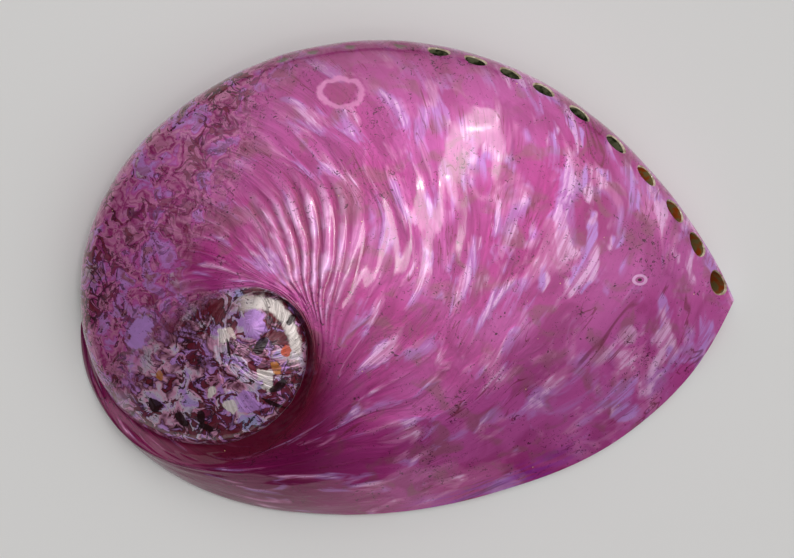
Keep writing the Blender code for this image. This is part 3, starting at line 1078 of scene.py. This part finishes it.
CRESCENT_PLACE = (-33.0, -14.0)
CRESCENT_SIZE = (10.4, 11.6)
MOTTLE_PLACE = (-47.0, -7.0)
MOTTLE_SIZE = (9.0, 8.0)
SMALL_RING_PLACE = (51.5, 0.5)
SMALL_RING_SIZE = (1.9, 1.3)


def dyed_ground(n, grow, place, deep_dye_and_shade):
    """Broad soft tones of the dye, and a darker magenta that is partly dye and partly painted shade,
    darkest beside the old turns.
    """
    broad = n.noise(place, 0.035, detail=3.0, twist=0.5, flat=False)
    colour = n.mix(n.step(broad, 0.36, 0.64), ROSE, MAUVE)
    plum = n.noise(n.stretched(grow, 9.0, 15.0, 4.3), detail=3.0, twist=0.6)
    colour = n.mix(n.step(plum, 0.46, 0.66, 0.0, 0.45), colour, PLUM)
    olive = n.noise(n.shifted(place, 8.3), 0.14, detail=4.0, twist=0.8, flat=False)
    colour = n.mix(n.step(olive, 0.50, 0.66, 0.0, 0.55), colour, OLIVE)
    # Darker magenta, partly dye and partly painted shade
    return n.mix(n.product(deep_dye_and_shade, 0.95), colour, DEEP_DYE_AND_SHADE)


def nacre_patches_and_sheen(n, colour, grow, waves, silk, deep_dye_and_shade):
    """Soft pale patches with silky edges, partly the nacre's own tone and partly painted sheen, with
    painted highlights in their hearts, fewer where the magenta is darker.
    """
    patch = n.math("ADD", waves, n.product(n.math("SUBTRACT", silk, 0.5), 0.10))
    where = n.noise(n.stretched(grow, 20.0, 26.0, 6.7), detail=1.0)
    limit = n.math("ADD", n.step(where, 0.40, 0.62, 0.62, 0.54), n.product(deep_dye_and_shade, 0.08))
    over = n.math("SUBTRACT", patch, limit)
    tint = n.step(n.noise(n.stretched(grow, 9.0, 12.0, 3.0)), 0.45, 0.58)
    colour = n.mix(n.step(over, -0.08, 0.08, 0.0, 0.5), colour, n.mix(tint, PALE_ROSE, LAVENDER))
    # Painted highlights in the patches' hearts
    highlight_heart = n.product(n.step(over, 0.05, 0.15), n.step(silk, 0.40, 0.58, 0.25, 0.75))
    return n.mix(highlight_heart, colour, PINK_GLINT)


def hatched_glints(n, colour, grow, silk, newest):
    """Painted glints: small bright patches hatched along the growth lines, near the newest edge."""
    small = n.noise(n.stretched(grow, 4.2, 8.0, 11.0), detail=2.0, rough=0.5, twist=0.2)
    where = n.step(n.noise(n.stretched(grow, 12.0, 18.0, 15.0), detail=1.0), 0.38, 0.54)
    share = n.product(newest, where, n.step(silk, 0.40, 0.56, 0.35, 1.0))
    tint = n.step(n.noise(n.stretched(grow, 5.0, 9.0, 21.0)), 0.44, 0.56)
    inside = n.product(n.step(small, 0.49, 0.62), share, 0.8)
    return n.mix(inside, colour, n.mix(tint, PINK_GLINT, LAVENDER))


def strands(n, colour, grow, silk, fan):
    """Fine silk along the growth lines, with a few dark hairlines."""
    colour = n.mix(n.product(n.step(silk, 0.30, 0.44, 0.12, 0.0), fan), colour, PLUM)
    strand = n.noise(n.stretched(grow, 4.5, 42.0, 5.2), detail=3.0, rough=0.6, twist=0.6)
    gate = n.step(n.noise(n.stretched(grow, 11.0, 13.0, 2.0)), 0.50, 0.60)
    return n.mix(n.product(n.band(strand, 0.50, 0.004, 0.010), gate, 0.6), colour, RED_BROWN)


def specks(n, colour, place):
    """Short dark dashes and tiny bright grains."""
    cluster = n.noise(place, 0.09, detail=2.0, flat=False)
    dash = n.noise(place, 0.95, detail=3.0, rough=0.6, twist=2.0, flat=False)
    limit = n.step(cluster, 0.40, 0.70, 0.67, 0.595)
    dark = n.step(n.math("SUBTRACT", dash, limit), 0.0, 0.012)
    colour = n.mix(n.product(dark, 0.85), colour, SPECK)
    distance, tone = n.cells(place, 2.4)
    grain = n.product(n.step(distance, 0.16, 0.09), n.step(tone, 0.88, 0.90))
    return n.mix(grain, colour, GOLD)


def bent_place(n, place, size, shift):
    """Place warped for marbling with features of about the given size."""
    return n.warped(n.warped(place, 3.0 * size, 1.3 * size, shift), 0.9 * size, 0.35 * size, shift + 9.0)


def pearly(n, colour, bent, strength, size, pearls, cell_share):
    """Soft pearly islands that run through the given colours."""
    cell = n.cells(bent, 2.6 * size)[1]
    soft = n.step(n.noise(n.shifted(bent, 40.0), 0.30 / size, detail=3.0, flat=False), 0.30, 0.70)
    tone = n.math("ADD", n.product(soft, 1.0 - cell_share), n.product(cell, cell_share))
    return n.mix(n.product(strength, 0.9), colour, n.ramp(tone, pearls))


def dark_marks(n, colour, place, bent, strength, size, limits):
    """Irregular dark marks and veins between the pearly islands, in loose clusters."""
    edge = n.veins(bent, 2.6 * size)
    where = n.noise(n.shifted(place, 3.0), 0.12 / size, detail=2.0, flat=False)
    blot = n.noise(n.shifted(bent, 17.0), 0.5 / size, detail=3.0, rough=0.6, twist=1.3, flat=False)
    over = n.math("SUBTRACT", blot, n.step(where, 0.36, 0.62, *limits))
    line = n.product(n.step(edge, 0.15 * size, 0.05 * size), n.step(where, 0.50, 0.62))
    dark = n.product(n.math("MAXIMUM", n.step(over, 0.0, 0.02), line), strength)
    brown = n.mix(n.step(over, 0.03, 0.08), DARK_BROWN, RED_BROWN)
    return n.mix(n.product(dark, 0.93), colour, brown)


def mottling(n, colour, place, strength):
    """Fine brown and pink grain in the middle of the old turns."""
    off, _ = n.ellipse(place, MOTTLE_PLACE, MOTTLE_SIZE, 0.0)
    fine = n.noise(place, 1.3, detail=3.0, rough=0.6, twist=0.8, flat=False)
    share = n.product(n.step(off, 1.1, 0.5), strength, n.step(fine, 0.46, 0.54, 0.15, 0.85))
    return n.mix(share, colour, UMBER)


def spots(n, colour, place, shift, marks, tone, share):
    """Uneven ovals, given one by one as middle, half sizes and turn."""
    for middle, size, turn in marks:
        off, _ = n.ellipse(place, middle, size, turn)
        colour = n.mix(n.step(n.math("ADD", off, shift), 1.10, 0.86, 0.0, share), colour, tone)
    return colour


def pale_marks(n, colour, place, shift):
    """The pale crescent at the top of the spire, partly pale nacre and partly a painted highlight, and
    the larger coloured marks around it.
    """
    colour = spots(n, colour, place, shift, LILAC_SPOTS, LAVENDER, 0.85)
    colour = spots(n, colour, place, shift, WHITE_SPOTS, CREAM, 0.85)
    # The crescent: pale nacre with a painted highlight
    ring, angle = n.ellipse(place, CRESCENT_PLACE, CRESCENT_SIZE, 0.0)
    window = n.product(n.step(angle, -0.6, 0.1), n.step(angle, 2.2, 1.7))
    uneven_ring = n.math("ADD", ring, n.product(shift, 0.12))
    crescent = n.product(n.band(uneven_ring, 0.84, 0.09, 0.08), window)
    colour = n.mix(n.product(crescent, 0.92), colour, CREAM)
    colour = spots(n, colour, place, shift, ORANGE_SPOTS, ORANGE, 0.9)
    return spots(n, colour, place, shift, OCHRE_SPOTS, OCHRE, 0.8)


def pale_rings(n, colour, place, shift):
    """The large pale ring near the holes, and a small one with a dark dot towards the front end."""
    eye, angle = n.ellipse(place, EYE_PLACE, EYE_SIZE, EYE_TURN)
    eye = n.math("ADD", eye, n.product(shift, 0.2))
    side = n.step(n.math("ABSOLUTE", angle), 1.2, 2.6, 0.7, 0.95)
    colour = n.mix(n.product(n.band(eye, 0.84, 0.06, 0.14), side), colour, PALE_ROSE)
    colour = n.mix(n.step(eye, 0.72, 0.50, 0.0, 0.6), colour, RING_HEART)
    small, _ = n.ellipse(place, SMALL_RING_PLACE, SMALL_RING_SIZE, 0.0)
    colour = n.mix(n.product(n.band(small, 0.75, 0.14, 0.12), 0.7), colour, PINK_GLINT)
    return n.mix(n.step(small, 0.30, 0.22), colour, SPECK)


def folds_and_top_edge(n, colour, age, from_edge, loose_waves, crest_highlight, valley_shade):
    """Painted shade in wine red along the top edge, and the silky folds beside the spire, with painted
    shade in their valleys and painted highlights on their crests.
    """
    # Painted shade along the top edge
    top_edge_shade = n.product(n.step(from_edge, 26.0, 5.0), n.step(age, 34.0, 64.0))
    colour = n.mix(n.product(top_edge_shade, 0.6), colour, WINE_SHADE)
    broken = n.step(loose_waves, 0.38, 0.56, 0.35, 1.0)
    # Painted shade in the folds' valleys and painted highlights on their crests
    colour = n.mix(n.product(valley_shade, 0.7), colour, FOLD_SHADE_ROSE)
    return n.mix(n.product(crest_highlight, broken, 0.85), colour, PINK_GLINT)


def marbling(n, colour, place, from_edge, lace_zone, dome_zone):
    """Lace along the older edge, and the pearly islands and dark marks of the spire."""
    lace = bent_place(n, place, 1.7, 0.0)
    outer_lace = n.product(lace_zone, n.step(from_edge, 30.0, 6.0, 0.5, 1.0))
    colour = pearly(n, colour, lace, n.product(lace_zone, 0.75), 1.7, LACE_PEARLS, 0.25)
    colour = dark_marks(n, colour, place, lace, outer_lace, 1.5, (0.60, 0.50))
    dome = bent_place(n, place, 1.8, 60.0)
    colour = pearly(n, colour, dome, dome_zone, 1.8, DOME_PEARLS, 0.3)
    colour = mottling(n, colour, place, dome_zone)
    return dark_marks(n, colour, place, dome, dome_zone, 1.6, (0.55, 0.46))


def back_material():
    """Lacquered dyed nacre of the back."""
    n = Nodes("dyed_nacre_back")
    place = n.place()
    grow = n.growth()
    lace_zone, dome_zone, deep_dye_and_shade, groove = n.channels("zones")
    crest_highlight, valley_shade, pit, violet_glint = n.channels("marks")
    age, from_edge, _ = n.split("XYZ", grow)
    fan = n.math("MAXIMUM", n.step(from_edge, 64.0, 44.0), n.step(age, 105.0, 75.0))
    grown_waves = n.noise(n.stretched(grow, 6.2, 12.0, 1.9), detail=3.5, rough=0.55, twist=0.4)
    loose_waves = n.noise(place, 0.17, detail=3.5, rough=0.55, twist=0.6, flat=False)
    waves = n.blend(fan, loose_waves, grown_waves)
    grown_silk = n.noise(n.stretched(grow, 0.8, 12.0, 2.2), detail=3.0, rough=0.6)
    silk = n.blend(fan, n.noise(place, 0.6, detail=3.0, flat=False), grown_silk)
    shift = n.product(n.math("SUBTRACT", n.noise(place, 0.45, detail=3.0, flat=False), 0.5), 2.2)
    newest = n.product(n.step(age, 72.0, 48.0), n.step(from_edge, 62.0, 44.0))
    old_turns = n.step(age, 152.0, 160.0)
    wall = n.product(n.step(from_edge, -0.2, -1.2), old_turns)
    colour = dyed_ground(n, grow, place, deep_dye_and_shade)
    colour = nacre_patches_and_sheen(n, colour, grow, waves, silk, deep_dye_and_shade)
    colour = hatched_glints(n, colour, grow, silk, newest)
    colour = strands(n, colour, grow, silk, fan)
    colour = folds_and_top_edge(n, colour, age, from_edge, loose_waves, crest_highlight, valley_shade)
    # Painted shade: dark red-brown in the groove beside the spire
    colour = n.mix(n.product(groove, 0.75), colour, RED_BROWN)
    colour = marbling(n, colour, place, from_edge, lace_zone, dome_zone)
    colour = pale_marks(n, colour, place, shift)
    colour = spots(n, colour, place, shift, DARK_SPOTS, DARK_BROWN, 0.95)
    colour = specks(n, colour, place)
    colour = pale_rings(n, colour, place, shift)
    # Painted bluish-purple glint along the lip's edge
    colour = n.mix(n.product(violet_glint, n.step(silk, 0.40, 0.60), 0.4), colour, VIOLET)
    colour = n.mix(n.step(pit, 0.2, 0.7, 0.0, 0.7), colour, PIT_GREEN)
    # Painted highlight: a thin silver line along the outer edge of the old turns
    colour = n.mix(n.product(n.band(from_edge, 0.4, 0.12, 0.15), old_turns, 0.6), colour, SILVER)
    colour = n.mix(n.product(wall, 0.9), colour, DARK_BROWN)
    return n.surfaced({
        "Base Color": colour,
        "Normal": n.bump(waves, 0.7, 0.6),
        "Metallic": 0.4,
        "Specular IOR Level": 0.15,
        "Roughness": n.step(silk, 0.3, 0.7, 0.44, 0.34),
        "Coat Weight": n.step(wall, 0.0, 1.0, 1.0, 0.1),
        "Coat Roughness": 0.07,
        "Coat IOR": 1.5,
    })


def underside_material():
    """Smooth tinted nacre of the hollow."""
    n = Nodes("tinted_nacre_underside")
    place = n.place()
    tone = n.noise(place, 0.05, detail=3.0, twist=1.0, flat=False)
    colour = n.mix(n.step(tone, 0.4, 0.6), HOLLOW_PINK, HOLLOW_GREY)
    tint = n.noise(n.shifted(place, 30.0), 0.07, detail=3.0, twist=1.5, flat=False)
    return n.surfaced({
        "Base Color": n.mix(n.step(tint, 0.48, 0.62, 0.0, 0.8), colour, HOLLOW_ROSE),
        "Normal": n.bump(tint, 2.0, 0.3),
        "Metallic": 0.4,
        "Roughness": 0.28,
        "Coat Weight": 0.6,
        "Coat Roughness": 0.1,
    })


def hole_edge_material():
    """Pale worn edge of an open hole."""
    n = Nodes("hole_edge")
    tone = n.noise(n.place(), 0.7, detail=3.0, flat=False)
    colour = n.mix(n.step(tone, 0.4, 0.6), HOLE_SAND, HOLE_TAN)
    return n.surfaced({"Base Color": colour, "Roughness": 0.3, "Coat Weight": 0.8})


def hole_wall_material():
    """Wall of an open hole: orange brown near the front end, and green black in the older ones."""
    n = Nodes("hole_wall")
    place = n.place()
    east = n.split("XYZ", place)[0]
    tone = n.step(n.noise(place, 0.6, detail=3.0, flat=False), 0.4, 0.6)
    old = n.mix(tone, *OLD_HOLE_TONES)
    new = n.mix(tone, *NEW_HOLE_TONES)
    return n.surfaced({"Base Color": n.mix(n.step(east, 48.0, 52.0), old, new), "Roughness": 0.35})


def build_shell():
    materials = [back_material(), underside_material(), hole_edge_material(), hole_wall_material()]
    mesh = cut_holes(shell_mesh(materials), materials)
    write_places(mesh)
    mesh.shade_smooth()
    mesh.set_sharp_from_angle(angle=math.radians(SHARP_ANGLE))
    shell = linked("shell_surface", mesh)
    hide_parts("shell")
    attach(shell, "root")


# Floor, lights and camera


def build_floor():
    half = FLOOR_HALF * MM
    corners = [(-half, -half, 0.0), (half, -half, 0.0), (half, half, 0.0), (-half, half, 0.0)]
    material = Nodes("pale_floor").surfaced({"Base Color": FLOOR_GREY, "Roughness": 0.85})
    floor = linked("floor", new_mesh("floor", corners, [(0, 1, 2, 3)], [0], [material]))


def area_light(name, place, along, size, power):
    """Soft rectangular light facing the origin, its first side along the given direction."""
    light = bpy.data.lights.new(name, "AREA")
    light.shape = "RECTANGLE"
    light.size = size[0] * MM
    light.size_y = size[1] * MM
    light.energy = power
    item = linked(name, light)
    back = Vector(place).normalized()
    side = Vector(along) - Vector(along).dot(back) * back
    side.normalize()
    item.matrix_world = Matrix((side, back.cross(side), back)).transposed().to_4x4()
    item.location = Vector(place) * MM


def build_world():
    """Pale room, bright overhead, behind and to the right, and dark in front and to the left."""
    world = bpy.data.worlds.new("soft_room")
    world.use_nodes = True
    nodes = world.node_tree.nodes
    links = world.node_tree.links
    direction = nodes.new("ShaderNodeTexCoord")
    towards = nodes.new("ShaderNodeVectorMath")
    towards.operation = "DOT_PRODUCT"
    towards.inputs[1].default_value = ROOM_TOWARDS
    level = nodes.new("ShaderNodeMapRange")
    level.interpolation_type = "SMOOTHSTEP"
    for index, value in enumerate((ROOM_DARK_AT, ROOM_BRIGHT_AT, ROOM_DARK, ROOM_BRIGHT)):
        level.inputs[index + 1].default_value = value
    links.new(direction.outputs["Generated"], towards.inputs[0])
    links.new(towards.outputs["Value"], level.inputs[0])
    links.new(level.outputs[0], nodes["Background"].inputs["Strength"])
    nodes["Background"].inputs["Color"].default_value = ROOM_COLOUR
    bpy.context.scene.world = world


def build_lights():
    """Softbox behind, two strips whose reflections cross the back, and two small bright panels."""
    east = (1.0, 0.0, 0.0)
    area_light("softbox", (-400.0, 800.0, 480.0), east, (900.0, 600.0), 1.0)
    area_light("long_strip", (186.0, 67.0, 1000.0), (0.22, 0.97, 0.0), (560.0, 85.0), 1.0)
    area_light("short_strip", (57.0, -210.0, 1000.0), east, (190.0, 60.0), 0.22)
    area_light("panel", (161.0, 47.0, 980.0), east, (26.0, 16.0), 0.05)
    area_light("second_panel", (213.0, 210.0, 980.0), east, (30.0, 12.0), 0.04)


def build_camera():
    camera = bpy.data.cameras.new("camera")
    camera.lens = CAMERA_LENS
    camera.sensor_width = SENSOR_WIDTH
    camera.clip_start = 0.01
    item = linked("camera", camera)
    item.location = Vector(CAMERA_PLACE) * MM
    bpy.context.scene.camera = item


bpy.context.scene.view_settings.view_transform = "Standard"
build_shell()
build_floor()
build_world()
build_lights()
build_camera()
